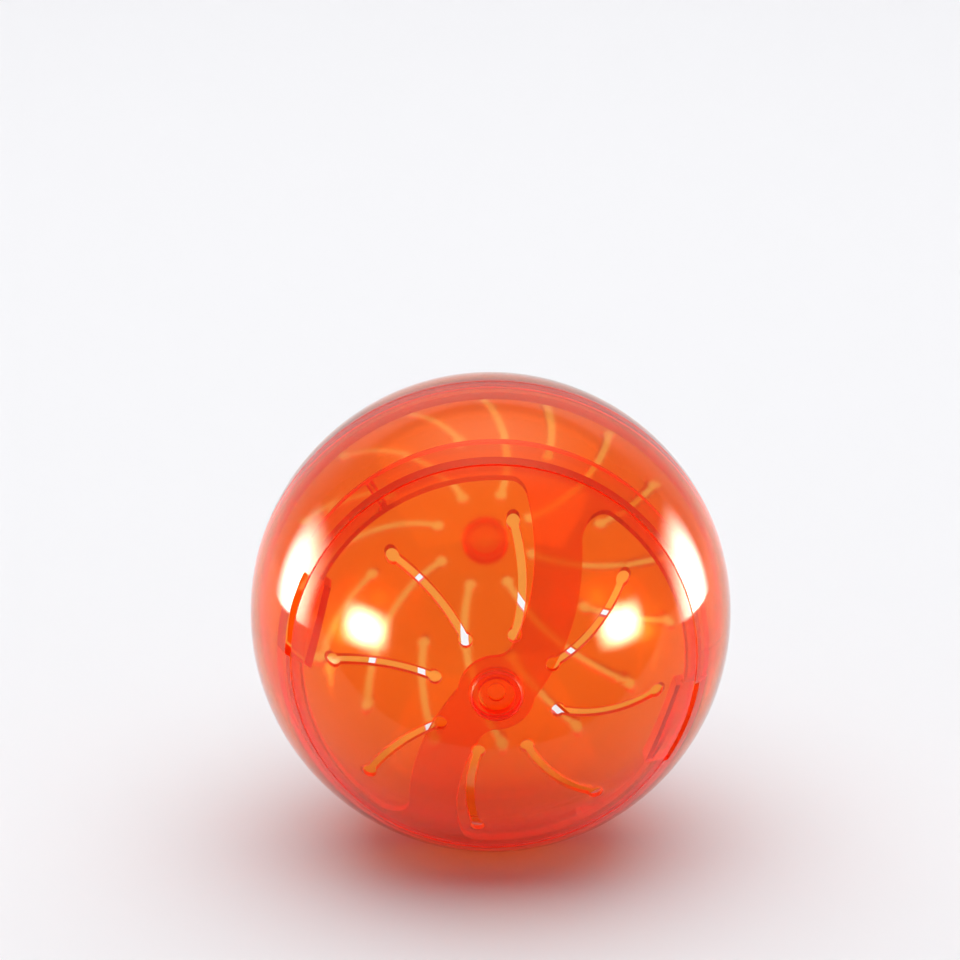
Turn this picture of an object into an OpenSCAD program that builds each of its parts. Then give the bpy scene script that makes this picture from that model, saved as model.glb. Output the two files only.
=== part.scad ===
// Hamster ball: a clear moulded ball in two halves, with a round slotted door.
// The ball's axis runs along Y and its front pole faces -Y. The origin is its centre.
// Modules draw in a working frame whose Z points out of the front pole, with X to the
// right and Y up as the ball is seen from the front. facing_front() turns that frame.

/* [Ball] */
// Outer diameter of the ball
ball_d = 120; // [105:1:160]
// Wall thickness of both shells and of the door
wall_t = 1.8; // [1.4:0.1:2.4]

/* [Seam] */
// How far the rear shell's lap pushes into the front shell
lap_l = 6; // [4:0.5:9]
// Thickness of the lap
lap_t = 1.5; // [1:0.1:2]
// Gap between the lap and the front shell's wall
lap_gap = 0.15; // [0.1:0.05:0.3]
// Length of the lap's root along the rear shell's wall
lap_root_l = 3; // [2:0.5:6]
// Radius of the snap bead round the lap
bead_r = 0.5; // [0.3:0.1:0.7]
// Chamfer on the outer rim of each shell, which shows as the seam line
seam_chamfer = 0.3; // [0.2:0.1:0.6]

/* [Door opening] */
// Angle between the front pole and the edge of the door opening
opening_angle = 55.2; // [50:0.1:57]
// Width of the ledge that the door sits over
ledge_w = 3.9; // [3:0.1:5]
// Thickness of the ledge and of the S bar
ledge_t = 1.6; // [1.2:0.1:2]
// Wall left outside the notches that let the lugs in
seat_wall_t = 0.9; // [0.6:0.1:1.4]

/* [S bar] */
// Radius of the disc in the middle of the S bar
disc_r = 9; // [8.5:0.1:12]
// Width of each arm of the S
arm_w = 11.3; // [8:0.1:14]
// Bend radius of each arm, to the middle of its width
arm_bend_r = 46.2; // [44:0.1:50]
// Distance from the ball's axis to the centre of each arm's bend
arm_centre_d = 44.5; // [42:0.1:46]
// Direction of that centre for the upper arm, anticlockwise from the right
arm_centre_angle = 135; // [120:1:150]
// Radius of the corners of the two windows
window_corner_r = 4.5; // [2:0.1:5]

/* [Door] */
// Gap round the door's rim
door_gap = 0.3; // [0.2:0.05:0.5]
// Gap between the door and the ledge under it
seat_gap = 0.3; // [0.2:0.05:0.5]
// Direction of the right-hand lug at rest, anticlockwise from the right
lug_angle = -20.5; // [-25:0.5:-10]
// Angle from the right-hand lug round to the left-hand one, anticlockwise
lug_spread = 187; // [175:1:190]
// Length of each lug along the rim
lug_l = 20.6; // [14:0.1:24]
// Thickness of each lug
lug_t = 1.6; // [1.2:0.1:2]
// Thickness of a lug's neck at its ends, where it is thinnest
neck_t = 1.7; // [1:0.1:2]
// How far each lug reaches past the door's rim
lug_past = 1.2; // [0.8:0.1:1.8]
// Gap round the lugs, in their notches and under the ledge
lug_gap = 0.4; // [0.3:0.05:0.6]
// Turn that takes the lugs from their notches to the stops
lock_turn = 28; // [26:1:32]
// Thickness of the stop ribs under the ledge
stop_t = 1.2; // [0.8:0.1:2]
// Gap between a locked lug and its stop rib
stop_gap = 0.3; // [0.2:0.05:0.5]

/* [Air slots] */
// Width of every slot
slot_w = 2; // [1.5:0.1:2.4]
// Diameter of the round ends of every slot
slot_end_d = 3.3; // [2.8:0.1:4]
// Bend radius of every slot
slot_bend_r = 38; // [34:0.5:50]
// Number of slots in the door
door_slot_count = 8; // [4:1:10]
// Angle from the pole to the inner end of a door slot
door_slot_in_angle = 14.6; // [13:0.1:20]
// Angle from the pole to the outer end of a door slot
door_slot_out_angle = 40.2; // [30:0.1:42]
// Direction of the inner end of the first door slot, anticlockwise from the right
door_slot_start = 118.7; // [90:0.1:150]
// How much further round the outer end of a door slot lies
door_slot_sweep = 10.1; // [0:0.1:20]
// Number of long slots in the rear shell, with a short one after each
rear_slot_count = 8; // [4:1:8]
// Angle from the rear pole to the inner end of a long slot
long_slot_in_angle = 12.8; // [12:0.1:18]
// Angle from the rear pole to the outer end of a long slot
long_slot_out_angle = 54.8; // [45:0.1:57]
// Direction of the inner end of the first long slot, as the first door slot's
long_slot_start = 117; // [95:0.1:140]
// How much further round the outer end of a long slot lies
long_slot_sweep = 22.6; // [15:0.1:28]
// Angle from the rear pole to the inner end of a short slot
short_slot_in_angle = 31.3; // [30:0.1:36]
// Angle from the rear pole to the outer end of a short slot
short_slot_out_angle = 55.8; // [45:0.1:57]
// How far the first short slot's inner end lies back from the first long slot's
short_slot_back = 14.2; // [11:0.1:17]
// How much further round the outer end of a short slot lies
short_slot_sweep = 15.6; // [12:0.1:19]

/* [Hub cups] */
// Outer radius of a hub cup
cup_r = 6.2; // [5.5:0.1:7]
// Length of a hub cup along the ball's axis
cup_l = 5.2; // [4.8:0.1:7]
// Radius of the socket in a hub cup
socket_r = 4.4; // [3:0.1:4.8]
// Depth of the socket
socket_depth = 2.8; // [2:0.1:3.2]
// Radius of the dimple in the socket's floor
dimple_r = 2.2; // [1:0.1:2.6]
// Depth of the dimple
dimple_depth = 1; // [0.5:0.1:1.3]
// Chamfer on the edges of a hub cup
cup_chamfer = 0.4; // [0.2:0.1:0.6]
// Radial gap between a hub cup and the hole that holds it
cup_fit = 0.05; // [0.02:0.01:0.1]
// Radial gap between the front hub cup and the hole in the S bar's disc
disc_fit = 0.15; // [0.1:0.05:0.3]

/* [Hidden] */
$fn = 96;
sphere_fn = 180;
ball_colour = [1, 0.38, 0.05, 0.55];
door_colour = [1, 0.45, 0.12, 0.55];
cup_colour = [1, 0.25, 0.03, 0.8];

// Overrun of every cut past the face that it cuts
over = 1;
quarter_turn = 90;
half_turn = 180;
full_turn = 360;

// How far a corner's filling reaches into the solid beside it, over its radius, and
// how far its rounding cuts past the edges that it joins, for clean crossings
corner_reach_share = 1.3;
corner_bite = 0.03;

// Spherical levels from the ball's centre, from the outside in
ball_r = ball_d / 2;
wall_r = ball_r - wall_t;
fuse_r = ball_r - wall_t / 2;
ledge_top_r = wall_r - seat_gap;
ledge_low_r = ledge_top_r - ledge_t;
ledge_mid_r = ledge_top_r - ledge_t / 2;
lug_top_r = ledge_low_r - lug_gap;
lug_low_r = lug_top_r - lug_t;
lap_r = wall_r - lap_gap;
lap_low_r = lap_r - lap_t;

// Radii from the ball's axis
opening_r = ball_r * sin(opening_angle);
door_r = opening_r - door_gap;
ledge_r = opening_r - ledge_w;
lug_r = door_r + lug_past;
notch_r = lug_r + lug_gap;
seat_r = notch_r + seat_wall_t;
neck_r = ledge_r - lug_gap;
lug_face = sqrt(neck_r * neck_r - lug_l * lug_l / 4) - neck_t;
arm_in_r = arm_bend_r - arm_w / 2;
arm_out_r = arm_bend_r + arm_w / 2;
bead_z = lap_l / 2;
bead_ring_r = sqrt(lap_r * lap_r - bead_z * bead_z);

// A point at a radius and a direction
function toward(angle) = [cos(angle), sin(angle)];
function polar(r, angle) = r * toward(angle);

// Direction of a point that is far from the axis and near from a second centre
// at centre_d, measured from the direction of that centre
function side_angle(far, near, centre_d) =
    acos((far * far + centre_d * centre_d - near * near) / (2 * far * centre_d));

module facing_front() rotate([90, 0, 0]) children();

module hollow_sphere(outer_r, inner_r) {
    difference() {
        sphere(outer_r, $fn = sphere_fn);
        sphere(inner_r, $fn = sphere_fn);
    }
}

// What lies between two heights along the ball's axis
module slice(low, high) {
    intersection() {
        children();
        translate([0, 0, low]) cylinder(r = ball_r + over, h = high - low);
    }
}

// A flat outline carried straight out along the axis, as the mould draws
module drawn_front() linear_extrude(ball_r + over) children();

module drawn_rear() {
    translate([0, 0, -ball_r - over]) linear_extrude(ball_r + over) children();
}

// One curved slot between two points, bulging clockwise, with round ends
module slot(start, stop) {
    half_chord = norm(stop - start) / 2;
    heading = atan2(stop[1] - start[1], stop[0] - start[0]);
    back = sqrt(slot_bend_r * slot_bend_r - half_chord * half_chord);
    spread = asin(half_chord / slot_bend_r);
    centre = (start + stop) / 2 + polar(back, heading + quarter_turn);
    outward = heading - quarter_turn;
    rim_r = slot_bend_r + slot_w / 2;
    far_r = rim_r / cos(spread) + over;
    translate(centre) intersection() {
        difference() {
            circle(rim_r);
            circle(rim_r - slot_w);
        }
        polygon([[0, 0], polar(far_r, outward - spread), polar(far_r, outward + spread)]);
    }
    for (end = [start, stop]) translate(end) circle(d = slot_end_d);
}

// Equal slots round the axis, from the first one's two angles, start and sweep
module slot_ring(count, in_angle, out_angle, start, sweep) {
    first = polar(ball_r * sin(in_angle), start);
    last = polar(ball_r * sin(out_angle), start + sweep);
    for (i = [0 : count - 1]) rotate(-i * full_turn / count) slot(first, last);
}

// What rounding takes off a window's corner: all beyond a circle that touches both
// of the corner's edges. out_1 and out_2 point from its centre to where it touches.
module corner_rest(centre, out_1, out_2) {
    reach = corner_reach_share * window_corner_r;
    middle = toward(out_1) + toward(out_2);
    tip = 2 * reach * middle / (middle * middle);
    translate(centre) difference() {
        polygon([[0, 0], polar(reach, out_1), tip, polar(reach, out_2)]);
        circle(window_corner_r + corner_bite);
    }
}

// One corner between a circle round the axis and an edge of the upper arm
module arm_corner(axis_d, arm_d, axis_side, arm_side) {
    bend = polar(arm_centre_d, arm_centre_angle);
    heading = arm_centre_angle - side_angle(axis_d, arm_d, arm_centre_d);
    centre = polar(axis_d, heading);
    from_bend = atan2(centre[1] - bend[1], centre[0] - bend[0]);
    corner_rest(centre, heading + axis_side, from_bend + arm_side);
}

// One arm of the S: a band round the centre of its bend, from the axis to the ledge
module arm() {
    inward = arm_centre_angle - half_turn;
    far_r = 2 * (ledge_r + arm_out_r);
    translate(polar(arm_centre_d, arm_centre_angle)) intersection() {
        difference() {
            circle(arm_out_r);
            circle(arm_in_r);
        }
        polygon([
            [0, 0],
            polar(far_r, inward),
            polar(far_r, inward + quarter_turn / 2),
            polar(far_r, inward + quarter_turn)]);
    }
}

// The two windows, one each side of the S bar, inside the ledge's edge
module windows() {
    ring_d = ledge_r - window_corner_r;
    difference() {
        circle(ledge_r);
        circle(disc_r);
        for (side = [0, half_turn]) rotate(side) {
            arm();
            arm_corner(ring_d, arm_in_r - window_corner_r, 0, 0);
            arm_corner(ring_d, arm_out_r + window_corner_r, 0, -half_turn);
            arm_corner(disc_r + window_corner_r, arm_in_r - window_corner_r, -half_turn, 0);
        }
    }
}

// One lug's outline out to a radius
module lug_block(outer_r, grow) {
    intersection() {
        circle(outer_r);
        translate([lug_face, -lug_l / 2 - grow]) square([outer_r, lug_l + 2 * grow]);
    }
}

module at_lugs() {
    for (side = [0, lug_spread]) rotate(lug_angle + side) children();
}

// The ledge, the S bar and the disc, with the wall that joins them to the shell
module web() {
    slice(0, ball_r) intersection() {
        hollow_sphere(fuse_r, ledge_low_r);
        drawn_front() difference() {
            circle(seat_r);
            windows();
        }
    }
}

// A rib under the ledge where each lug ends its turn
module stop_ribs() {
    intersection() {
        hollow_sphere(ledge_mid_r, lug_low_r);
        drawn_front() at_lugs() rotate(-lock_turn) intersection() {
            difference() {
                circle(lug_r);
                circle(ledge_r);
            }
            translate([0, -lug_l / 2 - stop_gap - stop_t]) square([lug_r, stop_t]);
        }
    }
}

// The seam's chamfer on a rim at height 0 whose shell lies above it
module rim_chamfer() {
    rotate_extrude($fn = sphere_fn) polygon([
        [ball_r - seam_chamfer - over, -over],
        [ball_r + seam_chamfer, -over],
        [ball_r + seam_chamfer, 2 * seam_chamfer]]);
}

module bead_ring(r) {
    rotate_extrude($fn = sphere_fn) translate([bead_ring_r, bead_z]) circle(r, $fn = 48);
}

// Front half of the ball, with the opening, its ledge and the S bar in one moulding
module front_shell() {
    color(ball_colour) facing_front() difference() {
        union() {
            slice(0, ball_r) hollow_sphere(ball_r, wall_r);
            web();
            stop_ribs();
        }
        difference() {
            cylinder(r = opening_r, h = ball_r + over);
            sphere(ledge_top_r, $fn = sphere_fn);
        }
        drawn_front() at_lugs() lug_block(notch_r, lug_gap);
        cylinder(r = cup_r + disc_fit, h = ball_r + over);
        rim_chamfer();
        bead_ring(bead_r + lap_gap);
    }
}

// Rear half of the ball, with long and short slots and the lap for the front half
module rear_shell() {
    color(ball_colour) facing_front() difference() {
        union() {
            slice(-ball_r, 0) hollow_sphere(ball_r, wall_r);
            slice(-lap_root_l, 0) hollow_sphere(fuse_r, lap_low_r);
            slice(-lap_root_l, lap_l) hollow_sphere(lap_r, lap_low_r);
            bead_ring(bead_r);
        }
        drawn_rear() {
            slot_ring(rear_slot_count, long_slot_in_angle, long_slot_out_angle,
                long_slot_start, long_slot_sweep);
            slot_ring(rear_slot_count, short_slot_in_angle, short_slot_out_angle,
                long_slot_start - short_slot_back, short_slot_sweep);
            circle(cup_r + cup_fit);
        }
        mirror([0, 0, 1]) rim_chamfer();
    }
}

// Slotted door, which is a cap of the ball with a bayonet lug at each side
module door() {
    color(door_colour) facing_front() difference() {
        union() {
            slice(0, ball_r) intersection() {
                hollow_sphere(ball_r, wall_r);
                cylinder(r = door_r, h = ball_r + over);
            }
            intersection() {
                hollow_sphere(fuse_r, lug_low_r);
                drawn_front() at_lugs() lug_block(neck_r, 0);
            }
            intersection() {
                hollow_sphere(lug_top_r, lug_low_r);
                drawn_front() at_lugs() lug_block(lug_r, 0);
            }
        }
        drawn_front() {
            slot_ring(door_slot_count, door_slot_in_angle, door_slot_out_angle,
                door_slot_start, door_slot_sweep);
            circle(cup_r + cup_fit);
        }
    }
}

// A hub cup: a short round plug with a stepped socket, its mouth at the pole
module hub_cup() {
    floor_z = ball_r - socket_depth;
    rotate_extrude() polygon([
        [0, ball_r - cup_l],
        [cup_r - cup_chamfer, ball_r - cup_l],
        [cup_r, ball_r - cup_l + cup_chamfer],
        [cup_r, ball_r - cup_chamfer],
        [cup_r - cup_chamfer, ball_r],
        [socket_r, ball_r],
        [socket_r, floor_z],
        [dimple_r, floor_z],
        [dimple_r, floor_z - dimple_depth],
        [0, floor_z - dimple_depth]]);
}

module front_hub_cup() color(cup_colour) facing_front() hub_cup();

module rear_hub_cup() color(cup_colour) facing_front() mirror([0, 0, 1]) hub_cup();

front_shell();
rear_shell();
door();
front_hub_cup();
rear_hub_cup();
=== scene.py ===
import math
import bpy
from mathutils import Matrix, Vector

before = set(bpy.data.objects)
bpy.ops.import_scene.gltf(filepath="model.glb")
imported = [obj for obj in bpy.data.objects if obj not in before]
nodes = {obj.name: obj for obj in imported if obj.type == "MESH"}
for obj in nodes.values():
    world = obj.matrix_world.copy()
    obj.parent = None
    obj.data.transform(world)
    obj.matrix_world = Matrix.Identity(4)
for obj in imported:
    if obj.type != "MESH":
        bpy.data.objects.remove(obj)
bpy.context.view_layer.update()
scene = bpy.context.scene

# Camera
# Looks down on the ball from 19.5 degrees above its axis and a little from the left of
# the front pole, from 0.93 m away. The ball sits low in the frame, as in a shot that
# leaves room above it.
BALL_R = 0.060
CAMERA_DISTANCE = 0.93
CAMERA_ELEVATION = math.radians(19.5)
CAMERA_SIDE = math.radians(1.4)
IMAGE = 960
BALL_CENTRE_PX = (490.7, 611.5)
BALL_RADIUS_PX = 240
SENSOR_WIDTH = 36
# Enough for a ray that crosses the door, the bar and both shells and turns back in them
BOUNCES = 24

focal_px = BALL_RADIUS_PX * math.sqrt(CAMERA_DISTANCE ** 2 - BALL_R ** 2) / BALL_R
outward = Vector((
    -math.sin(CAMERA_SIDE) * math.cos(CAMERA_ELEVATION),
    -math.cos(CAMERA_SIDE) * math.cos(CAMERA_ELEVATION),
    math.sin(CAMERA_ELEVATION)))
across = Vector((0, 0, 1)).cross(outward).normalized()
upward = outward.cross(across)
right_px = IMAGE / 2 - BALL_CENTRE_PX[0]
up_px = BALL_CENTRE_PX[1] - IMAGE / 2
aim = (across * right_px + upward * up_px) * (CAMERA_DISTANCE / focal_px)
camera_data = bpy.data.cameras.new("camera")
camera_data.sensor_width = SENSOR_WIDTH
camera_data.lens = focal_px * SENSOR_WIDTH / IMAGE
camera = bpy.data.objects.new("camera", camera_data)
camera.location = outward * CAMERA_DISTANCE
camera.rotation_euler = (aim - camera.location).to_track_quat("-Z", "Y").to_euler()
scene.collection.objects.link(camera)
scene.camera = camera
scene.view_settings.view_transform = "Standard"
scene.cycles.max_bounces = BOUNCES
scene.cycles.transmission_bounces = BOUNCES
scene.cycles.transparent_max_bounces = BOUNCES


# Studio
# A pale matt sweep that the ball stands on and that curves up into a wall behind it, one
# large soft panel overhead, and soft boxes that only the polished plastic mirrors.
def linear(code):
    """A linear colour from an sRGB hex value."""
    parts = [int(code[i:i + 2], 16) / 255 for i in (1, 3, 5)]
    return tuple(p / 12.92 if p <= 0.04045 else ((p + 0.055) / 1.055) ** 2.4 for p in parts)


def add(tree, kind, links=None, **settings):
    """Adds one shader node with its settings, input values and links. An input goes by its
    name, or by its number where a node has several inputs of one name."""
    node = tree.nodes.new(kind)
    for name, value in settings.items():
        setattr(node, name, value)
    for name, value in (links or {}).items():
        if isinstance(value, bpy.types.NodeSocket):
            tree.links.new(value, node.inputs[name])
        else:
            node.inputs[name].default_value = value
    return node


def new_material(name):
    """An empty material and its node tree."""
    material = bpy.data.materials.new(name)
    material.use_nodes = True
    material.node_tree.nodes.clear()
    return material, material.node_tree


FLOOR_COLOUR = "#EFEFF1"
# Paint grain of about 1 mm
GRAIN_PER_M = 900.0
GRAIN_DEPTH = 0.0003
GRAIN_STRENGTH = 0.03
SWEEP_HALF_WIDTH = 3.0
SWEEP_FRONT = -3.0
FLOOR_SPLIT = -0.10
BEND_START = 1.3
BEND_R = 0.8
BEND_STEPS = 24
WALL_TOP = 3.0

# Rolled matt paint, which takes the ball's shadow and mirrors nothing
paint, tree = new_material("matt_white_paint")
grain = add(tree, "ShaderNodeTexNoise", {"Scale": GRAIN_PER_M, "Detail": 3.0})
bump = add(tree, "ShaderNodeBump", {
    "Height": grain.outputs["Fac"], "Strength": GRAIN_STRENGTH, "Distance": GRAIN_DEPTH})
matt = add(tree, "ShaderNodeBsdfPrincipled", {
    "Base Color": linear(FLOOR_COLOUR) + (1,), "Roughness": 1.0, "Specular IOR Level": 0.0,
    "Normal": bump.outputs["Normal"]})
add(tree, "ShaderNodeOutputMaterial", {"Surface": matt.outputs["BSDF"]})


def sweep_piece(name, profile):
    """A strip of the sweep through points given as distance back and height."""
    mesh = bpy.data.meshes.new(name)
    sides = (-SWEEP_HALF_WIDTH, SWEEP_HALF_WIDTH)
    points = [(side, back, height) for back, height in profile for side in sides]
    faces = [(2 * i, 2 * i + 1, 2 * i + 3, 2 * i + 2) for i in range(len(profile) - 1)]
    mesh.from_pydata(points, [], faces)
    mesh.polygons.foreach_set("use_smooth", [True] * len(faces))
    mesh.materials.append(paint)
    piece = bpy.data.objects.new(name, mesh)
    scene.collection.objects.link(piece)
    return piece


turns = [math.pi / 2 * i / BEND_STEPS for i in range(BEND_STEPS + 1)]
bend = [
    (BEND_START + BEND_R * math.sin(turn), BEND_R * (1 - math.cos(turn)) - BALL_R)
    for turn in turns]
sweep_piece("floor", [(FLOOR_SPLIT, -BALL_R)] + bend + [(BEND_START + BEND_R, WALL_TOP)])
front_floor = sweep_piece("front_floor", [(SWEEP_FRONT, -BALL_R), (FLOOR_SPLIT, -BALL_R)])
# The ball's front mirrors the dim room instead, so that its orange stays deep
front_floor.visible_glossy = False

ROOM_COLOUR = "#F4F4F6"
ROOM_LIGHT = 0.3

world = bpy.data.worlds.new("studio")
world.use_nodes = True
world.node_tree.nodes.clear()
room = add(world.node_tree, "ShaderNodeBackground", {
    "Color": linear(ROOM_COLOUR) + (1,), "Strength": ROOM_LIGHT})
add(world.node_tree, "ShaderNodeOutputWorld", {"Surface": room.outputs["Background"]})
scene.world = world


def lamp(name, place, size, power):
    """A flat lamp that faces the ball."""
    data = bpy.data.lights.new(name, "AREA")
    data.shape = "RECTANGLE"
    data.size, data.size_y = size
    data.energy = power
    holder = bpy.data.objects.new(name, data)
    holder.location = place
    holder.rotation_euler = (-Vector(place)).to_track_quat("-Z", "Y").to_euler()
    holder.visible_camera = False
    scene.collection.objects.link(holder)
    return holder


def highlight(name, place, size, radiance):
    """A soft box that only polished surfaces see, brightest in its middle and fading to
    nothing at its edges. Light that the floor has scattered doesn't see it."""
    holder = lamp(name, place, size, radiance * math.pi * size[0] * size[1])
    holder.visible_diffuse = False
    holder.visible_transmission = False
    holder.data.use_nodes = True
    tree = holder.data.node_tree
    tree.nodes.clear()
    spot = add(tree, "ShaderNodeNewGeometry").outputs["Parametric"]
    centred = add(tree, "ShaderNodeVectorMath", {
        0: spot, 1: (2, 2, 2), 2: (-1, -1, -1)}, operation="MULTIPLY_ADD")
    reach = add(tree, "ShaderNodeVectorMath", {0: centred.outputs[0]}, operation="ABSOLUTE")
    inside = add(tree, "ShaderNodeVectorMath", {
        0: (1, 1, 1), 1: reach.outputs[0]}, operation="SUBTRACT")
    fade = add(tree, "ShaderNodeMapRange", {
        6: inside.outputs[0], 7: (0, 0, 0), 8: (1, 1, 1)},
        data_type="FLOAT_VECTOR", interpolation_type="SMOOTHSTEP")
    parts = add(tree, "ShaderNodeSeparateXYZ", {0: fade.outputs[1]})
    strength = add(tree, "ShaderNodeMath", {
        0: parts.outputs["X"], 1: parts.outputs["Y"]}, operation="MULTIPLY")
    bounces = add(tree, "ShaderNodeLightPath").outputs["Diffuse Depth"]
    direct = add(tree, "ShaderNodeMath", {0: bounces, 1: 0.5}, operation="LESS_THAN")
    seen = add(tree, "ShaderNodeMath", {
        0: strength.outputs[0], 1: direct.outputs[0]}, operation="MULTIPLY")
    glow = add(tree, "ShaderNodeEmission", {"Strength": seen.outputs[0]})
    add(tree, "ShaderNodeOutputLight", {"Surface": glow.outputs["Emission"]})


overhead = lamp("overhead", place=(0.0, 0.1, 2.2), size=(3.6, 3.6), power=69)
overhead.visible_glossy = False
highlight("top_glow", place=(0.0, 0.6, 2.2), size=(3.6, 2.6), radiance=1.5)

# The round highlights on the door, each from a box with a small bright core
ROUND_PLACES = {"left": (-0.78, -0.44, 0.055), "right": (0.78, -0.44, 0.065)}
for part, size, radiance in (("lamp", (0.47, 0.32), 110), ("core", (0.16, 0.13), 500)):
    for side, place in ROUND_PLACES.items():
        highlight(f"{side}_{part}", place, size, radiance)

# The tall highlights near the ball's left and right limbs, from boxes a little behind it
highlight("left_bar", place=(-0.551, 0.158, 0.05), size=(0.36, 0.44), radiance=40)
highlight("right_bar", place=(0.545, 0.175, 0.03), size=(0.34, 0.44), radiance=40)


# Rear shell
# The rear half is injection-moulded clear polystyrene, tinted orange all through, with the
# mould's polish and its faint flow waves. Blades in the mould leave its slots, and its lap
# pushes into the front half.
SHELL_WALL = 0.0018
SHELL_WALL_COLOUR = "#FFA044"
SHELL_SURFACE_COLOUR = "#FFBC74"
POLYSTYRENE_IOR = 1.54
# What is left of white light in the ball's shadow after each surface
SHADOW_COLOUR = "#FFDDB8"
# Reflections seen face on take a warm tint, and those near the limb stay white
GLOSS_COLOUR = "#FFD9A0"
# Share of the light that goes through a polished face, and through a cut edge below
FACE_CLARITY = 0.97
# Roughness of the mould's polish, from its best to its dullest spots, about 6 mm apart
POLISH = (0.04, 0.10)
HAZE_PER_M = 160.0
# Flow waves about 22 mm apart
WAVES_PER_M = 45.0
WAVE_HEIGHT = 0.0006
WAVE_STRENGTH = 0.15
# Cut edges, told by the cosine between their normal and the ball's
# A painted deep red glow on cut edges, standing in for light that ran inside the wall
EDGE_GLOW_COLOUR = "#FF2A08"
EDGE_CLARITY = 0.4
EDGE_ROUGHNESS = 0.3
EDGE_SLOPES = (0.90, 0.96)


def clear_polystyrene(name, wall_colour, surface_colour):
    """Polished plastic, tinted all through. A white light that has passed one shell wall
    has the wall colour, of which the surface colour is the two surfaces' part. Faces that
    don't follow the ball are cut edges. They get a painted deep red glow, standing in for
    light that ran inside the wall and leaves there."""
    material, tree = new_material(name)
    coords = add(tree, "ShaderNodeTexCoord")
    place = coords.outputs["Object"]
    waves = add(tree, "ShaderNodeTexNoise", {
        "Vector": place, "Scale": WAVES_PER_M, "Detail": 1.0})
    bump = add(tree, "ShaderNodeBump", {
        "Height": waves.outputs["Fac"], "Strength": WAVE_STRENGTH, "Distance": WAVE_HEIGHT})
    haze = add(tree, "ShaderNodeTexNoise", {
        "Vector": place, "Scale": HAZE_PER_M, "Detail": 4.0})
    polish = add(tree, "ShaderNodeMapRange", {
        "Value": haze.outputs["Fac"], "To Min": POLISH[0], "To Max": POLISH[1]})
    radial = add(tree, "ShaderNodeVectorMath", {0: place}, operation="NORMALIZE")
    slope = add(tree, "ShaderNodeVectorMath", {
        0: radial.outputs[0], 1: coords.outputs["Normal"]}, operation="DOT_PRODUCT")
    level = add(tree, "ShaderNodeMath", {0: slope.outputs["Value"]}, operation="ABSOLUTE")
    edge = add(tree, "ShaderNodeMapRange", {
        "Value": level.outputs[0], "From Min": EDGE_SLOPES[0], "From Max": EDGE_SLOPES[1],
        "To Min": 1.0, "To Max": 0.0})
    # Cut edges take the painted deep red glow in place of the surface colour
    tint_and_edge_glow = add(tree, "ShaderNodeMix", {
        0: edge.outputs["Result"], 6: linear(surface_colour) + (1,),
        7: linear(EDGE_GLOW_COLOUR) + (1,)}, data_type="RGBA")
    clarity = add(tree, "ShaderNodeMapRange", {
        "Value": edge.outputs["Result"], "To Min": FACE_CLARITY, "To Max": EDGE_CLARITY})
    rough = add(tree, "ShaderNodeMix", {
        0: edge.outputs["Result"], 2: polish.outputs["Result"],
        3: EDGE_ROUGHNESS}, data_type="FLOAT")
    body = add(tree, "ShaderNodeBsdfPrincipled", {
        "Base Color": tint_and_edge_glow.outputs[2], "Transmission Weight": clarity.outputs["Result"],
        "IOR": POLYSTYRENE_IOR, "Specular Tint": linear(GLOSS_COLOUR) + (1,),
        "Roughness": rough.outputs[0], "Normal": bump.outputs["Normal"]})
    clear = add(tree, "ShaderNodeBsdfTransparent", {"Color": linear(SHADOW_COLOUR) + (1,)})
    rays = add(tree, "ShaderNodeLightPath")
    mix = add(tree, "ShaderNodeMixShader", {
        0: rays.outputs["Is Shadow Ray"], 1: body.outputs["BSDF"], 2: clear.outputs["BSDF"]})
    kept = [wall / surface for wall, surface in zip(linear(wall_colour), linear(surface_colour))]
    losses = [-math.log(part) / SHELL_WALL for part in kept]
    density = max(losses)
    dye = add(tree, "ShaderNodeVolumeAbsorption", {
        "Color": tuple(1 - loss / density for loss in losses) + (1,), "Density": density})
    add(tree, "ShaderNodeOutputMaterial", {
        "Surface": mix.outputs["Shader"], "Volume": dye.outputs["Volume"]})
    return material


def finish_node(name, material):
    """Gives a moulded piece its plastic."""
    nodes[name].data.materials.clear()
    nodes[name].data.materials.append(material)


shell_plastic = clear_polystyrene(
    "clear_orange_polystyrene", SHELL_WALL_COLOUR, SHELL_SURFACE_COLOUR)
finish_node("rear_shell", shell_plastic)

# Rear hub cup
# A short round plug with a stepped socket, moulded of the same plastic with more dye and
# pressed into the rear shell. Its wall is seen end on, so that it shows as a red ring.
HUB_WALL_COLOUR = "#FF782C"
HUB_SURFACE_COLOUR = "#FF9A56"
hub_plastic = clear_polystyrene(
    "deep_orange_polystyrene", HUB_WALL_COLOUR, HUB_SURFACE_COLOUR)
finish_node("rear_hub_cup", hub_plastic)

# Front shell
# The front half is one moulding with the door's ledge, the S-shaped bar and its disc. It
# snaps over the rear half's lap, and the doubled wall there shows as a darker band.
finish_node("front_shell", shell_plastic)

# Front hub cup
# The same moulded cup as the rear one. It is pressed into the door, turns in the hole of
# the S bar's disc, and comes out of it when the door is lifted.
finish_node("front_hub_cup", hub_plastic)

# Door
# A slotted cap of the same plastic, flush with the ball, with two lugs that lock under
# the ledge. Where it lies over the ledge and the bar, three walls make a deeper orange.
finish_node("door", shell_plastic)
